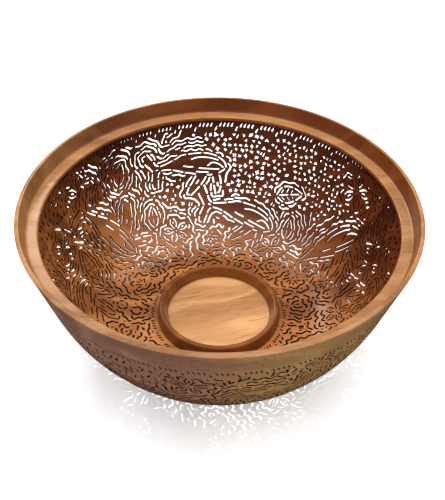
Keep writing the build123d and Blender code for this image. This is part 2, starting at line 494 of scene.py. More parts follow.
class Guide:
    """Directions that run along the nearest drawn outline, on a coarse grid."""
    STEP = 2.4

    def __init__(self, sheet, lines):
        self.half = sheet.half
        marks = np.concatenate(lines)
        axis = np.arange(-self.half, self.half + self.STEP, self.STEP)
        gx, gy = np.meshgrid(axis, axis, indexing="ij")
        cells = np.stack([gx.ravel(), gy.ravel()], -1)
        nearest = np.empty(len(cells), int)
        square = (marks ** 2).sum(1)
        for i in range(0, len(cells), 2000):
            block = cells[i:i + 2000]
            nearest[i:i + 2000] = (square - 2 * block @ marks.T).argmin(1)
        away = cells - marks[nearest]
        self.distance = np.hypot(away[:, 0], away[:, 1]).reshape(gx.shape)
        angle = np.arctan2(away[:, 1], away[:, 0]).reshape(gx.shape) + math.pi / 2
        # smooth as doubled angles, so that opposite directions agree
        c, s = np.cos(2 * angle), np.sin(2 * angle)
        for _ in range(2):
            for f in (c, s):
                sides = f[1:-1, 1:-1] * 2 + f[:-2, 1:-1] + f[2:, 1:-1] + f[1:-1, :-2] + f[1:-1, 2:]
                f[1:-1, 1:-1] = sides / 6
        self.angle = np.arctan2(s, c) / 2

    def at(self, p):
        i, j = ((p + self.half) / self.STEP + 0.5).astype(int)
        return self.angle[i, j], self.distance[i, j]


def grow(sheet, guide, seed, heading, room, reach, wave, phase, drift):
    """Grows a wavy line from a seed while it keeps its room. Far from outlines it drifts round."""
    line = [seed]
    p, base = seed, heading
    s = 0.0
    while s < reach:
        a, distance = guide.at(p)
        if math.cos(a - base) < 0:
            a += math.pi
        base = a if distance < GUIDED else base + drift * 0.1
        k = float(sheet.scale(p))
        h = base + wave[0] * math.sin(phase + 2 * math.pi * s / wave[1])
        q = p + np.array([math.cos(h), math.sin(h)]) * GROW_STEP / k
        if sheet.clearance(q) < room:
            break
        line.append(q)
        p = q
        s += GROW_STEP
    return line


def fill_lines(sheet, guide, seeds, inside, curly, wide, shortest=3.0, longest=34.0, gap=1.2):
    """Fills the zone with wavy slots, each grown beside the ones already there.

    A slot's wave has a swing in radians, wider where it is curly, and a length in mm."""
    rng = sheet.rng
    queue = list(seeds)
    head = 0
    while head < len(queue):
        seed = queue[head]
        head += 1
        width = LOW_SLOT if wide(seed) else SLOT
        room = gap + width / 2
        if sheet.clearance(seed) < room * 1.02 or not inside(seed):
            continue
        angle, distance = guide.at(seed)
        if distance >= GUIDED:
            angle = rng.uniform(0, math.pi)
        wave = (rng.uniform(0.5, 0.95) * (1.0 if curly(seed) else 0.55), rng.uniform(7.5, 11.0))
        phase = rng.uniform(0, 2 * math.pi)
        drift = rng.normal(0, 1)
        total = rng.uniform(0.45, 1.0) * longest
        ahead = grow(sheet, guide, seed, angle, room, total * 0.6, wave, phase, drift)
        rest = total - GROW_STEP * (len(ahead) - 1)
        back = grow(sheet, guide, seed, angle + math.pi, room, rest, wave, math.pi - phase, drift)
        line = np.array(back[:0:-1] + ahead)
        if len(line) < 2 or GROW_STEP * (len(line) - 1) < shortest - SLOT:
            continue
        sheet.slot(line, width)
        # new seeds beside the line and beyond its ends
        for i in rng.permutation(len(line))[:3]:
            a = line[min(i + 1, len(line) - 1)] - line[max(i - 1, 0)]
            n = np.array([-a[1], a[0]]) / math.hypot(*a)
            k = float(sheet.scale(line[i]))
            for f in (1, -1):
                queue.append(line[i] + n * f * (room + SLOT / 2) * rng.uniform(1.05, 1.2) / k)
        for end, inner in ((0, 1), (-1, -2)):
            a = line[end] - line[inner]
            a /= math.hypot(*a)
            k = float(sheet.scale(line[end]))
            queue.append(line[end] + a * (room + SLOT / 2) * 1.25 / k)


def rosette(sheet, centre, radius, kind, turn):
    """Small coral forms of the lower field, radius in mm."""
    k = float(sheet.scale(centre))
    c, s = math.cos(turn), math.sin(turn)

    def at(points):
        p = np.asarray(points, float)
        return centre + np.stack([p[:, 0] * c - p[:, 1] * s, p[:, 0] * s + p[:, 1] * c], -1) * radius / k

    def arc(r, a, b, n=14):
        return polar(r, np.radians(np.linspace(a, b, n)))

    if kind == 0:      # open ring with a star
        t = np.linspace(0, 2 * math.pi, 72)
        for base, lobes in ((.86, 7), (.46, 5)):
            dashes(sheet, at(polar(base * (1 + .13 * np.sin(lobes * t)), t)[:-3]), 19, LOW_SLOT)
    elif kind == 1:    # small flower
        for a in range(0, 360, 72):
            sheet.slot(at(arc(.88, a + 14, a + 58, 8)), LOW_SLOT)
            sheet.slot(at(polar(np.array([.42, .66]), math.radians(a))), 1.1)
        sheet.slot(at([(-.04, 0), (.04, 0)]), 1.4)
    elif kind == 2:    # nested arcs round a short bar
        for line in (arc(.9, -120, 120), arc(.5, -105, 105), [(-.1, 0), (.12, 0)]):
            dashes(sheet, at(line), 12, LOW_SLOT)
    elif kind == 3:    # fan
        for a in range(-64, 65, 32):
            x, y = polar(1.0, math.radians(a))
            sheet.slot(at([(-.7 + .55 * x, .5 * y), (-.7 + 1.5 * x, 1.3 * y)]))
        sheet.slot(at([(-.95, -.1), (-.95, .1)]))
    else:              # spiral
        t = np.linspace(0.6, 2.9 * math.pi, 40)
        dashes(sheet, at(polar(.14 + .74 * t / t[-1], t)), 13, LOW_SLOT)


def scatter(sheet, inside, radii, tries):
    """Random places of a zone that still have a radius of wood round them, with that radius."""
    rng = sheet.rng
    lo, hi = sheet.profile.rho[-1], sheet.profile.rho[0]
    for _ in range(tries):
        rho = math.sqrt(rng.uniform(lo ** 2, hi ** 2))
        p = polar(1.0, rng.uniform(0, 2 * math.pi)) * rho
        radius = rng.uniform(*radii)
        if sheet.clearance(p) > radius and inside(p):
            yield p, radius


def rows(sheet, inside, start, end, across, down, shake=0.15):
    """Places (turn, v) of a zone in staggered rows, each shaken a little."""
    rng, profile = sheet.rng, sheet.profile
    for row in range(int((end - start) / down)):
        depth = start + row * down
        r, v = profile.below(depth, profile.r), profile.below(depth, profile.v)
        count = int(2 * math.pi * r / across)
        shift = row % 2 / 2 + rng.uniform(-.12, .12)
        for i in range(count):
            turn = 2 * math.pi * (i + shift) / count + rng.normal(0, shake) * across / r
            place = (turn, v + rng.normal(0, shake) * down / r)
            if inside(sheet.plane(*place)):
                yield place


def add_stars(sheet, places, reach=0.72, gap=0.6):
    """Ragged stars where their points, which reach a share of their size, leave a gap of wood."""
    for place in places:
        p = sheet.plane(*place)
        size = sheet.rng.uniform(2.1, 2.9)
        if sheet.clearance(p) > reach * size + gap:
            sheet.spark(p, size)


def add_drops(sheet, places, widths=(1.2, 1.5), lengths=(2.6, 4.0), gap=0.6):
    """Drops that lean to the right, and one in four to the left."""
    rng = sheet.rng
    lean = np.array([(-.2, -.5), (-.06, -.15), (.06, .12), (.22, .5)])
    for place in places:
        line = sheet.local(place, lean * rng.uniform(*lengths) * (rng.choice((1, 1, 1, -1)), 1))
        width = rng.uniform(*widths)
        if sheet.fits(line, gap, width / 2):
            sheet.drop(line, width)


def beside(sheet, holes):
    """Starts for new lines, just outside the outlines of holes, in a random order."""
    seeds = []
    for hole in holes:
        k = float(sheet.scale(hole.mean(0)))
        for i in range(0, len(hole), 3):
            a = hole[(i + 1) % len(hole)] - hole[i - 1]
            n = np.array([a[1], -a[0]]) / math.hypot(*a)
            seeds.append(hole[i] + n * (SLOT / 2 + 1.5) / k)
    return [seeds[i] for i in sheet.rng.permutation(len(seeds))]


def build(seed=5):
    """The sheet with its borders and motifs, and the outlines of the motifs' slots."""
    sheet = Sheet(Profile(), np.random.default_rng(seed))
    border(sheet)
    base_row(sheet)
    first = len(sheet.holes)
    for a, depth, heading, size, bend, flip in WHALES:
        whale(sheet, sheet.spot(a, depth), size, math.radians(heading), bend, flip)
    for a, depth, radius, phase in FLOWERS:
        flower(sheet, sheet.spot(a, depth), radius, phase)
    for a, depth, length, width, heading in LEAVES:
        leaf(sheet, sheet.spot(a, depth), length, width, math.radians(heading))
    for a, depth, size, heading in TURTLES:
        turtle(sheet, sheet.spot(a, depth), size, math.radians(heading))
    return sheet, sheet.holes[first:]


def fill(sheet, motif_lines):
    """Fills what the motifs leave: coral forms low down, grown lines, stars, drops, short slots."""
    rng = sheet.rng
    phase = rng.uniform(0, 6.28, 4)
    depth = sheet.depth

    def low(p):
        a = math.atan2(p[1], p[0])
        return depth(p) > LOW_DEPTH + 6 * math.sin(3 * a + phase[0]) + 4 * math.sin(7 * a + phase[1])

    def in_front(p, share):
        return p[1] < -share * math.hypot(*p)

    def curly(p):
        return low(p) or in_front(p, 0.62)

    def wide(p):
        return low(p) or in_front(p, 0.25)

    def near_motif(p, reach=4.3):
        return guide.at(p)[1] * float(sheet.scale(p)) < reach and depth(p) > TOP_DEPTH + 1

    def within(p, fields):
        around = math.degrees(math.atan2(p[1], p[0])) % 360 + 5 * math.sin(depth(p) / 9 + phase[2])
        return any(a < around < b and s0 < depth(p) < s1 for a, b, s0, s1 in fields)

    def lined(p):
        return TOP_DEPTH < depth(p) < BASE_DEPTH and (
            low(p) or near_motif(p) or not within(p, STAR_FIELDS + DROP_FIELDS))

    first = len(sheet.holes)
    wood_round, closed_core = 1.7, 2.6      # from the edge of a coral form's place inwards
    for radii in ((9.5, 12.5), (6.2, 8.0)):
        for p, radius in scatter(sheet, low, radii, 700):
            rosette(sheet, p, radius - wood_round, int(rng.integers(0, 5)), rng.uniform(0, 2 * math.pi))
            sheet.block(p + circle(radius - closed_core, 16) / float(sheet.scale(p)))
    drawn = motif_lines + sheet.holes[first:]
    guide = Guide(sheet, drawn)
    seeds = beside(sheet, drawn)
    fill_lines(sheet, guide, seeds, lined, curly, wide, shortest=6.5)
    fill_lines(sheet, guide, seeds, lined, curly, wide)
    for p, _ in scatter(sheet, lined, (2.0, 2.4), 6000):
        fill_lines(sheet, guide, [p], lined, curly, wide)
    add_stars(sheet, rows(sheet, lambda p: within(p, STAR_FIELDS), 15, 104, 5.1, 4.7))
    add_drops(sheet, rows(sheet, lambda p: within(p, DROP_FIELDS), 15, 60, 4.6, 5.3),
              widths=(2.2, 2.7), lengths=(3.4, 4.6))
    add_drops(sheet, rows(sheet, lambda p: depth(p) < BASE_DEPTH, 16, 104, 3.45, 4.7))
    # short slots in the last small gaps of the lower wall
    for p, _ in scatter(sheet, lambda p: 60 < depth(p) < BASE_DEPTH + 2, (1.95, 2.2), 14000):
        half = polar(1.0, rng.uniform(0, math.pi)) * rng.uniform(.35, .8) / float(sheet.scale(p))
        line = np.array([p - half, p + half])
        if sheet.fits(line, .9, .6):
            sheet.slot(line, 1.25)


# ---- meshes

def mesh_object(name, points, polygons, normals, materials, slots=None, sharp=None, uv=None):
    """A smooth-shaded object from points in mm, arrays of polygons and one normal per corner."""
    mesh = bpy.data.meshes.new(name)
    corners = np.concatenate([p.ravel() for p in polygons]).astype(np.int32)
    sizes = np.concatenate([np.full(len(p), p.shape[1]) for p in polygons])
    starts = np.concatenate([[0], np.cumsum(sizes)[:-1]]).astype(np.int32)
    mesh.vertices.add(len(points))
    mesh.loops.add(len(corners))
    mesh.polygons.add(len(sizes))
    mesh.vertices.foreach_set("co", (points * MM).astype(np.float32).ravel())
    mesh.polygons.foreach_set("loop_start", starts)
    mesh.polygons.foreach_set("vertices", corners)
    mesh.polygons.foreach_set("use_smooth", np.ones(len(sizes), bool))
    if slots is not None:
        mesh.polygons.foreach_set("material_index", slots.astype(np.int32))
    mesh.update(calc_edges=True)
    if sharp is not None:
        ends = np.empty(2 * len(mesh.edges), np.int32)
        mesh.edges.foreach_get("vertices", ends)
        keys = np.sort(ends.reshape(-1, 2), 1) @ (len(points), 1)
        wanted = np.sort(sharp, 1) @ (len(points), 1)
        flags = mesh.attributes.new("sharp_edge", "BOOLEAN", "EDGE")
        flags.data.foreach_set("value", np.isin(keys, wanted))
    if uv is not None:
        mesh.uv_layers.new(name="OFBake").data.foreach_set("uv", uv.astype(np.float32).ravel())
    mesh.normals_split_custom_set(normals)
    for material in materials:
        mesh.materials.append(material)
    piece = bpy.data.objects.new(name, mesh)
    bpy.context.collection.objects.link(piece)
    return piece


def unit(v):
    return v / np.maximum(np.linalg.norm(v, axis=-1, keepdims=True), 1e-12)


def facing_of(points, quads):
    a, b, c, d = points[quads.T]
    return unit(np.cross(c - a, d - b))


def rounded(corners):
    """Closed outline of (radius, height, fillet) corners: its points and their outward normals."""
    p = np.array([c[:2] for c in corners], float)
    least = 0.02                # fillet of a sharp corner: two points, one for each side
    points, normals = [], []
    for i, (*_, fillet) in enumerate(corners):
        back, ahead = unit(p[i - 1] - p[i]), unit(p[(i + 1) % len(p)] - p[i])
        half = math.acos(max(-1.0, min(1.0, float(back @ ahead)))) / 2
        cut = max(fillet, least) / math.tan(half)
        side = math.copysign(1.0, -float(back[0] * ahead[1] - back[1] * ahead[0]))
        centre = p[i] + unit(back + ahead) * math.hypot(cut, max(fillet, least))
        a, b = p[i] + back * cut - centre, p[i] + ahead * cut - centre
        sweep = math.atan2(a[0] * b[1] - a[1] * b[0], float(a @ b))
        steps = max(2, int(abs(math.degrees(sweep)) / 12) + 1) if fillet else 1
        for t in np.linspace(0, sweep, steps + 1):
            turned = np.array([a[0] * math.cos(t) - a[1] * math.sin(t),
                               a[0] * math.sin(t) + a[1] * math.cos(t)])
            points.append(centre + turned)
            normals.append(unit(turned) * side)
    return np.array(points), np.array(normals)


def zone_slots(outline, normals, zones, count):
    """Material slot of each row of faces, from the first zone (a test of place and facing) that fits."""
    place, facing = (outline + np.roll(outline, -1, 0)) / 2, unit(normals + np.roll(normals, -1, 0))
    slots = [next((i + 1 for i, zone in enumerate(zones) if zone(*p, *f)), 0)
             for p, f in zip(place, facing)]
    return np.repeat(slots, count)


def spun(outline, count):
    """The points of an outline turned about Z, row by row."""
    c, s = circle(1.0, count).T[:, None]
    return np.stack([outline[:, :1] * c, outline[:, :1] * s, outline[:, 1:] + 0 * c], -1).reshape(-1, 3)


def lathe(name, corners, materials, zones=(), solid=False, count=384):
    """Turns an outline about Z. It is closed, or for a solid piece open with its ends on the axis.

    The first material is for faces outside all zones, and each zone has one of those after it."""
    if solid:
        corners = [(0.0, corners[0][1], 0), *corners, (0.0, corners[-1][1], 0)]
    outline, normals = rounded(corners)
    if solid:
        keep = outline[:, 0] > 0.3          # the ends on the axis are put back as single points
        outline, normals = outline[keep], normals[keep]
    bands = len(outline) - int(solid)
    slots = zone_slots(outline, normals, zones, count)[:bands * count]
    i, j = np.meshgrid(np.arange(bands), np.arange(count), indexing="ij")
    k, m = (i + 1) % len(outline), (j + 1) % count
    quads = np.stack([i * count + j, i * count + m, k * count + m, k * count + j], -1).reshape(-1, 4)
    points, facing, polygons = spun(outline, count), spun(normals, count), [quads]
    if solid:
        # a fan of triangles closes each end
        down, up = len(points), len(points) + 1
        around = np.arange(count)
        following, last = (around + 1) % count, down - count
        polygons += [np.stack([np.full(count, down), following, around], -1),
                     np.stack([last + around, last + following, np.full(count, up)], -1)]
        points = np.concatenate([points, [(0, 0, corners[0][1]), (0, 0, corners[-1][1])]])
        facing = np.concatenate([facing, [(0, 0, -1), (0, 0, 1)]])
        slots = np.concatenate([slots, np.zeros(count, int), np.full(count, slots[-1])])
    corner_normals = facing[np.concatenate([p.ravel() for p in polygons])]
    return mesh_object(name, points, polygons, corner_normals, materials, slots)


def wall_plane(sheet):
    """Plane points and triangles of the wall with its holes left out."""
    profile = sheet.profile
    top, base = circle(profile.rho[0], 360), circle(profile.rho[-1], 160)
    # points spread over the wood, clear of the holes and of both edges
    pitch, hole_gap, top_gap, base_gap = 6.0, 1.2, 2.5, 2.0
    axis = np.arange(-profile.rho[0], profile.rho[0], pitch)
    gx, gy = np.meshgrid(axis, axis * math.sqrt(3) / 2, indexing="ij")
    gx = gx + (np.arange(len(axis)) % 2)[None, :] * pitch / 2
    grid = np.stack([gx.ravel(), gy.ravel()], -1)
    radius = np.hypot(grid[:, 0], grid[:, 1])
    grid = grid[(radius < profile.rho[0] - top_gap) & (radius > profile.rho[-1] + base_gap)]
    cell = sheet.index(grid)
    grid = grid[sheet.cut[cell[:, 0], cell[:, 1]] > hole_gap]
    points = [*top, *base]
    loops = [list(range(len(top), len(points)))]
    for hole in sheet.holes:
        loops.append(list(range(len(points), len(points) + len(hole))))
        points.extend(hole)
    points.extend(grid)
    rim = [(i, (i + 1) % len(top)) for i in range(len(top))]
    found = delaunay_2d_cdt([Vector(p) for p in points], rim, loops, 0, 1e-5)
    plane = np.array([tuple(v) for v in found[0]])
    wood_left = [face for face, holes in zip(found[2], found[5]) if not holes]
    return plane, np.array(wood_left)


def pierced_wall(sheet, materials):
    """The closed shell: inner and outer faces, the walls of the holes, and the tongue."""
    profile = sheet.profile
    plane, triangles = wall_plane(sheet)
    used = np.unique(triangles)
    number = np.full(len(plane), -1)
    number[used] = np.arange(len(used))
    plane, triangles = plane[used], number[triangles]
    count = len(plane)
    rho = np.hypot(plane[:, 0], plane[:, 1])
    around = plane / rho[:, None]
    out_r = profile.at(profile.normal[:, 0], rho)
    out_z = profile.at(profile.normal[:, 1], rho)
    outward = unit(np.stack([around[:, 0] * out_r, around[:, 1] * out_r, out_z], -1))
    skin_r, skin_z = profile.at(profile.outer[:, 0], rho), profile.at(profile.outer[:, 1], rho)
    outer = np.stack([around[:, 0] * skin_r, around[:, 1] * skin_r, skin_z], -1)
    inner = outer - outward * WALL
    at_top = rho > profile.rho[0] - 1e-3
    inner[at_top] = np.column_stack([around[at_top] * JOINT_INNER, np.full(at_top.sum(), JOINT_HEIGHT)])

    # edges of the sheet: those whose reverse no triangle has
    edges = np.concatenate([triangles[:, [0, 1]], triangles[:, [1, 2]], triangles[:, [2, 0]]])
    single = ~np.isin(edges @ (count, 1), edges[:, ::-1] @ (count, 1))
    edges = edges[single]
    on_top = at_top[edges[:, 0]] & at_top[edges[:, 1]]
    rim, cut = edges[on_top], edges[~on_top]
    points = [inner, outer]

    # the tongue, as rings of points over the top edge
    ring = np.unique(rim)
    place = np.full(count, -1)
    place[ring] = np.arange(len(ring))
    near, far = TONGUE_RADIUS - TONGUE_WIDTH / 2, TONGUE_RADIUS + TONGUE_WIDTH / 2
    high = JOINT_HEIGHT + TONGUE_HEIGHT
    for radius, height in ((near, JOINT_HEIGHT), (near, high), (far, high), (far, JOINT_HEIGHT)):
        points.append(np.column_stack([around[ring] * radius, np.full(len(ring), height)]))
    steps_a, steps_b = ([end] + [2 * count + i * len(ring) + place[end] for i in range(4)] + [count + end]
                        for end in rim.T)
    tongue = np.concatenate([np.stack([steps_b[i], steps_a[i], steps_a[i + 1], steps_b[i + 1]], -1)
                             for i in range(5)])
    points = np.concatenate(points)

    # the walls of the holes
    a, b = cut.T
    sides = np.stack([b, a, count + a, count + b], -1)
    flat = facing_of(points, sides)
    ends_at, starts_at = np.zeros(count, int), np.zeros(count, int)
    ends_at[b], starts_at[a] = np.arange(len(cut)), np.arange(len(cut))
    before, after = flat[ends_at[a]], flat[starts_at[b]]
    smooth = math.cos(math.radians(60))     # neighbours that turn less are shaded as one face
    round_a = ((before * flat).sum(1) > smooth)[:, None]
    round_b = ((after * flat).sum(1) > smooth)[:, None]
    normal_a = unit(np.where(round_a, before + flat, flat))
    normal_b = unit(np.where(round_b, after + flat, flat))
    corner_a = a[~round_a[:, 0]]
    outside = triangles[:, ::-1] + count
    normals = np.concatenate([
        -outward[triangles.ravel()], outward[triangles[:, ::-1].ravel()],
        np.stack([normal_b, normal_a, normal_a, normal_b], 1).reshape(-1, 3),
        np.repeat(facing_of(points, tongue), 4, 0)])
    sharp = np.concatenate([cut, cut + count, np.stack([corner_a, corner_a + count], -1),
                            tongue[:, [0, 1]], tongue[:, [2, 3]]])
    slots = np.repeat([0, 1, 2, 2], [len(triangles), len(outside), len(sides), len(tongue)])

    # bake map: the two faces as discs in opposite corners, each hole's wall drawn inside its hole
    margin, drawn_depth = 0.004, 0.45
    disc = 1 / (2 + math.sqrt(2)) - margin
    inner_map, outer_map = (plane / profile.rho[0] * disc + corner for corner in (0.2929, 0.7071))
    to_hole = np.zeros((count, 2))
    along = unit(plane[b] - plane[a])
    into = np.stack([along[:, 1], -along[:, 0]], -1)
    np.add.at(to_hole, a, into)
    np.add.at(to_hole, b, into)
    shrunk = inner_map + unit(to_hole) * (drawn_depth / profile.scale(rho) / profile.rho[0] * disc)[:, None]
    side_map = np.stack([inner_map[b], inner_map[a], shrunk[a], shrunk[b]], 1).reshape(-1, 2)
    strip = 0.012
    tongue_map = np.tile([(0.0, 0.0), (strip, 0.0), (strip, strip), (0.0, strip)], (len(tongue), 1))
    tongue_map = tongue_map * 0.9 + (0.98, 0.006)
    uv = np.concatenate([inner_map[triangles.ravel()], outer_map[triangles[:, ::-1].ravel()],
                         side_map, tongue_map])
    return mesh_object("pierced_wall_skin", points, [triangles, outside, sides, tongue], normals,
                       materials, slots, sharp, uv)


# ---- turned outlines, counter-clockwise, as (radius, height, fillet)

def rim_outline():
    lip_width, lip_rise, lip_round = 3.6, 1.0, 0.8
    rebate_depth, rebate_slope, rebate_cove = 11.5, 3.1, 2.4
    ledge_radius, bead, ledge_foot = 135.9, 1.7, 2.2
    groove_inner, groove_outer = (TONGUE_RADIUS + side * (TONGUE_WIDTH / 2 + GLUE_GAP) for side in (-1, 1))
    groove_top = JOINT_HEIGHT + TONGUE_HEIGHT + GLUE_GAP
    lip_inner = RIM_RADIUS - lip_width
    bead_top = LIP_HEIGHT - rebate_depth
    bead_foot = bead_top - 2 * bead
    return [
        (JOINT_INNER, JOINT_HEIGHT, 0.1),
        (groove_inner, JOINT_HEIGHT, 0),
        (groove_inner, groove_top, 0),
        (groove_outer, groove_top, 0),
        (groove_outer, JOINT_HEIGHT, 0),
        (JOINT_OUTER, JOINT_HEIGHT, 0.15),
        (RIM_RADIUS, LIP_HEIGHT, lip_round),
        (lip_inner, LIP_HEIGHT + lip_rise, lip_round),
        (lip_inner - rebate_slope, bead_top, rebate_cove),
        (ledge_radius, bead_top, bead * 0.88),
        (ledge_radius, bead_foot, bead * 0.88),
        (JOINT_INNER - ledge_foot, bead_foot, 0.6),
    ]


# each zone is a test of the radius and height of a row of faces and of the way they face;
# the rim's outer face, then its rebate wall; the rebate wall takes a darker copy of the wood and the
# up-facing lip and ledge a lighter one, as painted shade and painted light
RIM_ZONES = (lambda radius, height, out, up: radius > 146 and out > 0.8,
             lambda radius, height, out, up: height > 112 and out < -0.55)
# the dish's floor, after its walls; the up-facing floor takes a lighter copy of the wood than the walls, as
# painted light and shade
DISH_ZONES = (lambda radius, height, out, up: radius < 43 and up > 0.55,)


def dish_outline(floor_height):
    skirt_radius, skirt_height = 51.2, 0.8
    crest_radius, crest_height, crest_round = 47.6, 19.8, 2.0
    floor_radius, floor_top, cove = 42.1, 9.1, 2.5
    return [
        (SPIGOT_RADIUS, SPIGOT_BOTTOM, 0.3),
        (SPIGOT_RADIUS, floor_height, 0),
        (skirt_radius, floor_height, 0),
        (skirt_radius, floor_height + skirt_height, 0.35),
        (crest_radius + crest_round, crest_height, crest_round),
        (crest_radius - crest_round, crest_height, crest_round),
        (floor_radius, floor_top, cove),
    ]


def foot_outline(underside):
    foot_radius, inner_edge, waist, chamfer = 52.0, 46.8, 0.8, 0.8
    return [
        (inner_edge, 0, 0.2),
        (foot_radius - chamfer, 0, 0.25),
        (foot_radius, chamfer, 0.3),
        (foot_radius - waist, underside / 2, 3.0),
        (foot_radius, underside, 0.15),
        (SOCKET_RADIUS, underside, 0),
        (SOCKET_RADIUS, chamfer, 0.2),
    ]


# ---- materials

class Nodes:
    """Short calls for building the nodes of a material or of the world."""

    def __init__(self, owner):
        owner.use_nodes = True
        self.owner = owner
        self.tree = owner.node_tree
        self.tree.nodes.clear()

    def add(self, kind, values=(), out=0, **settings):
        """Adds a node, sets or links its inputs, and gives one of its outputs."""
        node = self.tree.nodes.new(kind)
        for key, value in settings.items():
            setattr(node, key, value)
        for key, value in dict(values).items():
            self.put(node.inputs[key], value)
        return node.outputs[out] if len(node.outputs) else None

    def put(self, socket, value):
        if isinstance(value, bpy.types.NodeSocket):
            self.tree.links.new(value, socket)
        else:
            socket.default_value = value

    def stretched(self, where, scale):
        return self.add("ShaderNodeMapping", {"Vector": where, "Scale": scale})

    def noise(self, where, scale, detail=2.0, roughness=0.5):
        """Noise of about 0 to 1, finer along the axes with a larger scale."""
        return self.add("ShaderNodeTexNoise", {"Vector": self.stretched(where, scale), "Scale": 1.0,
                                               "Detail": detail, "Roughness": roughness})

    def ramp(self, value, low, high, to_low=0.0, to_high=1.0, shape="SMOOTHSTEP"):
        return self.add("ShaderNodeMapRange", {"Value": value, "From Min": low, "From Max": high,
                                               "To Min": to_low, "To Max": to_high},
                        interpolation_type=shape)

    def mix(self, factor, a, b):
        """Mixes two colours, each a socket or three numbers."""
        node = self.tree.nodes.new("ShaderNodeMix")
        node.data_type = "RGBA"
        self.put(node.inputs[0], factor)
        for socket, value in ((node.inputs[6], a), (node.inputs[7], b)):
            self.put(socket, (*value, 1.0) if isinstance(value, tuple) else value)
        return node.outputs[2]

    def math(self, operation, a, b):
        return self.add("ShaderNodeMath", {0: a, 1: b}, operation=operation)


def wood(name, dark, middle, light, pore_depth=0.8, painted_light_colours=None, axis=(1, 0, 0), span=(0, 0),
         roughness=0.36, coat=0.15, heading=0.0, specular=0.35):
    """Oiled wood with its grain along X: broad figure, growth bands, fibres and dark pores.

    Painted light: another set of colours takes over along an axis, over a span of it in metres, as painted
    shade on some woods and a painted sheen on others."""
    n = Nodes(bpy.data.materials.new(name))
    place = n.add("ShaderNodeTexCoord", out="Object")
    where = n.add("ShaderNodeMapping", {"Vector": place, "Rotation": (0, 0, -heading)})
    sway = n.noise(where, (9, 20, 20), 2)
    side = n.add("ShaderNodeSeparateXYZ", {"Vector": where}, out="Y")
    height = n.add("ShaderNodeSeparateXYZ", {"Vector": where}, out="Z")
    figure = n.noise(where, (5, 17, 17), 3)
    across = n.math("ADD", n.math("MULTIPLY", side, 150.0), n.math("MULTIPLY", height, 90.0))
    bands = n.math("SINE", n.math("ADD", across, n.math("MULTIPLY", sway, 24.0)), 0.0)
    fibre = n.noise(where, (55, 1500, 1500), 3, 0.6)
    pores = n.ramp(n.noise(where, (48, 1700, 1700), 1), 0.57, 0.68)
    sparse = n.ramp(n.noise(where, (14, 60, 60), 2), 0.38, 0.62, 0.35, 1.0)
    pores = n.math("MULTIPLY", pores, sparse)
    # painted light: the colours turn into another set along the axis, as painted shade on some woods and a
    # painted sheen on others
    if painted_light_colours:
        along = n.add("ShaderNodeVectorMath", {0: place, 1: axis}, out="Value", operation="DOT_PRODUCT")
        wobble = n.math("MULTIPLY", n.math("SUBTRACT", sway, 0.5), 0.02)
        turn = n.ramp(n.math("ADD", along, wobble), *span)
        dark, middle, light = (n.mix(turn, a, b) for a, b in zip((dark, middle, light), painted_light_colours))
    colour = n.mix(n.ramp(figure, 0.34, 0.66), dark, middle)
    colour = n.mix(n.ramp(bands, -0.3, 1.3, 0.0, 0.42), colour, light)
    colour = n.mix(n.ramp(fibre, 0.25, 0.75, 0.0, 0.30), colour, light)
    colour = n.mix(n.math("MULTIPLY", pores, pore_depth), colour, (0.035, 0.014, 0.008))
    rough = n.math("ADD", n.ramp(fibre, 0.2, 0.8, roughness - 0.05, roughness + 0.07),
                   n.math("MULTIPLY", pores, 0.2))
    relief = n.math("SUBTRACT", n.math("MULTIPLY", fibre, 0.35), pores)
    bump = n.add("ShaderNodeBump", {"Height": relief, "Strength": 0.35, "Distance": 0.00012})
    surface = n.add("ShaderNodeBsdfPrincipled", {
        "Base Color": colour, "Roughness": rough, "Normal": bump,
        "Specular IOR Level": specular, "Coat Weight": coat, "Coat Roughness": 0.22})
    n.add("ShaderNodeOutputMaterial", {"Surface": surface})
    return n.owner


def floor_with_painted_shadow():
    """Smooth white paper with a painted shadow close under the bowl, and dim where the polish of the wood
    mirrors it.
    """
    n = Nodes(bpy.data.materials.new("floor_paper"))
    where = n.add("ShaderNodeTexCoord", out="Object")
    tone = n.ramp(n.noise(where, (300, 300, 300), 2), 0.2, 0.8)
    colour = n.mix(tone, (0.90, 0.90, 0.90), (0.93, 0.93, 0.93))
    # painted shadow: the paper turns nearly black close under the bowl
    away = n.add("ShaderNodeVectorMath", {0: n.stretched(where, (0.62, 1, 1)), 1: (0, 0.005, 0)},
                 out="Value", operation="DISTANCE")
    colour = n.mix(n.ramp(away, 0.064, 0.082), (0.05, 0.045, 0.04), colour)
    mirrored = n.add("ShaderNodeLightPath", out="Is Glossy Ray")
    colour = n.mix(mirrored, colour, (0.05, 0.05, 0.05))
    surface = n.add("ShaderNodeBsdfDiffuse", {"Color": colour, "Roughness": 0.0})
    n.add("ShaderNodeOutputMaterial", {"Surface": surface})
    return n.owner


# ---- the bowl

sheet, motif_lines = build()
fill(sheet, motif_lines)

red_brown = ((0.026, 0.0032, 0.0005), (0.074, 0.0125, 0.0018), (0.150, 0.034, 0.006))
orange = ((0.090, 0.022, 0.005), (0.245, 0.073, 0.016), (0.440, 0.172, 0.047))
purple_brown = ((0.086, 0.036, 0.021), (0.148, 0.066, 0.040), (0.218, 0.108, 0.066))
olive_tan = ((0.100, 0.046, 0.014), (0.165, 0.084, 0.027), (0.240, 0.138, 0.052))
golden = ((0.130, 0.049, 0.014), (0.222, 0.096, 0.030), (0.328, 0.165, 0.064))
# painted shade: the inner face is darker red-brown high up and toward the back, and turns orange low down
# and toward the front
inner_wood = wood("inner_wood", *red_brown, painted_light_colours=orange, axis=(-0.25, -0.35, -0.90),
                  span=(-0.10, -0.01))
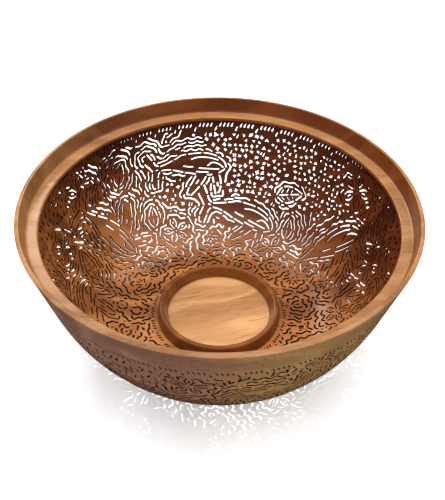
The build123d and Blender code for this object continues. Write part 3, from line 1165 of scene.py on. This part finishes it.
# painted sheen: the outer face, and the rim's outer face, are purple-brown on the left and olive-tan on the
# right
outer_wood = wood("outer_wood", *purple_brown, painted_light_colours=olive_tan, span=(-0.025, 0.035),
                  roughness=0.5, coat=0.0, specular=0.05)
cut_wood = wood("cut_wood", (0.006, 0.002, 0.001), (0.012, 0.004, 0.002), (0.022, 0.007, 0.003),
                pore_depth=0.3, roughness=0.8, coat=0.0, specular=0.05)
# painted light: the rim's up-facing lip and ledge are a lighter, golden copy of the wood
rim_wood = wood("rim_wood", *golden, pore_depth=0.5, roughness=0.37, coat=0.25, specular=0.30)
# painted shade: the rim's rebate wall is a darker copy of the wood, darkest toward the back right
rebate_wood = wood("rebate_wood", (0.055, 0.010, 0.001), (0.120, 0.024, 0.003), (0.190, 0.052, 0.010),
                   painted_light_colours=((0.100, 0.036, 0.010), (0.185, 0.075, 0.024), (0.270, 0.130, 0.048)),
                   axis=(-0.6, -0.8, 0.0), span=(-0.13, 0.09))
# painted shade: the dish's walls are a darker copy of its wood
dish_wood = wood("dish_wood", (0.060, 0.011, 0.0015), (0.135, 0.033, 0.005), (0.230, 0.075, 0.017),
                 pore_depth=0.6, roughness=0.28, coat=0.4)
# painted light: the dish's up-facing floor is a lighter copy of its wood
dish_floor_wood = wood("dish_floor_wood",
                       (0.197, 0.076, 0.022), (0.346, 0.163, 0.056), (0.507, 0.286, 0.118),
                       pore_depth=0.5, roughness=0.32, coat=0.25, heading=math.radians(17))
foot_wood = wood("foot_wood", *purple_brown)

wall_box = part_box("pierced_wall")
underside = wall_box[0].z / MM
pieces = (
    (pierced_wall(sheet, [inner_wood, outer_wood, cut_wood]), "pierced_wall", "wall_wood"),
    (lathe("rim_ring_turned", rim_outline(), [rim_wood, outer_wood, rebate_wood],
           RIM_ZONES), "rim_ring", "rim_wood"),
    (lathe("centre_dish_turned", dish_outline(underside + WALL), [dish_wood, dish_floor_wood],
           DISH_ZONES, solid=True), "centre_dish", "dish_wood"),
    (lathe("foot_ring_turned", foot_outline(underside), [foot_wood]), "foot_ring", "foot_wood"),
)
for piece, node, finish in pieces:
    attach(piece, "root")
    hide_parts(node)


# ---- floor, light and camera

def floor():
    bpy.ops.mesh.primitive_plane_add(size=12, location=(0, 0, 0))
    plane = bpy.context.object
    plane.name = "floor"
    plane.data.materials.append(floor_with_painted_shadow())


def area_light(name, direction, distance, size, power, target=(0, 0, 0.05)):
    data = bpy.data.lights.new(name, "AREA")
    data.shape, data.size, data.energy = "DISK", size, power
    lamp = bpy.data.objects.new(name, data)
    lamp.location = Vector(target) + Vector(direction).normalized() * distance
    lamp.rotation_euler = (Vector(target) - lamp.location).to_track_quat("-Z", "Y").to_euler()
    bpy.context.collection.objects.link(lamp)
    return lamp


def studio_light():
    """A white sky, brightest overhead and behind, that bleaches the floor. Polish mirrors a dim room."""
    overhead, horizon, seen = 3.1, 0.30, 1.0
    front, back = 0.75, 1.10
    softbox, room, softbox_edge, softbox_inside = 0.55, 0.08, 0.72, 0.90
    world = bpy.data.worlds.new("studio")
    n = Nodes(world)
    where = n.add("ShaderNodeTexCoord", out="Generated")
    up = n.add("ShaderNodeSeparateXYZ", {0: where}, out="Z")
    behind = n.add("ShaderNodeSeparateXYZ", {0: where}, out="Y")
    sky = n.math("MULTIPLY", n.ramp(up, 0, 1, horizon, overhead, "LINEAR"),
                 n.ramp(behind, -1, 1, front, back, "LINEAR"))
    mirrored = n.ramp(up, softbox_edge, softbox_inside, room, softbox, "LINEAR")
    strength = n.ramp(n.add("ShaderNodeLightPath", out="Is Glossy Ray"), 0, 1, sky, mirrored, "LINEAR")
    strength = n.ramp(n.add("ShaderNodeLightPath", out="Is Camera Ray"), 0, 1, strength, seen, "LINEAR")
    light = n.add("ShaderNodeBackground", {"Color": (1, 1, 1, 1), "Strength": strength})
    n.add("ShaderNodeOutputWorld", {"Surface": light})
    bpy.context.scene.world = world
    area_light("key", (-0.10, 0.03, 0.99), 1.7, 0.03, 26).visible_glossy = False
    area_light("back_glare", (-0.36, 0.78, 0.60), 1.6, 0.50, 6)
    bpy.context.scene.view_settings.view_transform = "Standard"


def camera():
    """The view down into the bowl, from 38.6 degrees above its rim, with the axis a little low."""
    elevation, distance = 0.67295, 4.2 * RIM_RADIUS * MM
    pan, tilt, roll = 0.0035864, -0.053407, -0.014245
    right = np.array([1.0, 0, 0])
    ahead = np.array([0, math.cos(elevation), -math.sin(elevation)])
    up = np.array([0, math.sin(elevation), math.cos(elevation)])
    place = np.array([0, 0, LIP_HEIGHT * MM]) - ahead * distance
    right, ahead = (math.cos(pan) * right - math.sin(pan) * ahead,
                    math.sin(pan) * right + math.cos(pan) * ahead)
    up, ahead = (math.cos(tilt) * up - math.sin(tilt) * ahead,
                 math.sin(tilt) * up + math.cos(tilt) * ahead)
    right, up = (math.cos(roll) * right - math.sin(roll) * up,
                 math.sin(roll) * right + math.cos(roll) * up)
    data = bpy.data.cameras.new("camera")
    data.sensor_width, data.lens = 36.0, 61.344
    data.clip_start, data.clip_end = 0.05, 50.0
    view = bpy.data.objects.new("camera", data)
    turn = Matrix((right, up, -ahead)).transposed()
    view.matrix_world = Matrix.Translation(place) @ turn.to_4x4()
    bpy.context.collection.objects.link(view)
    bpy.context.scene.camera = view


floor()
studio_light()
camera()
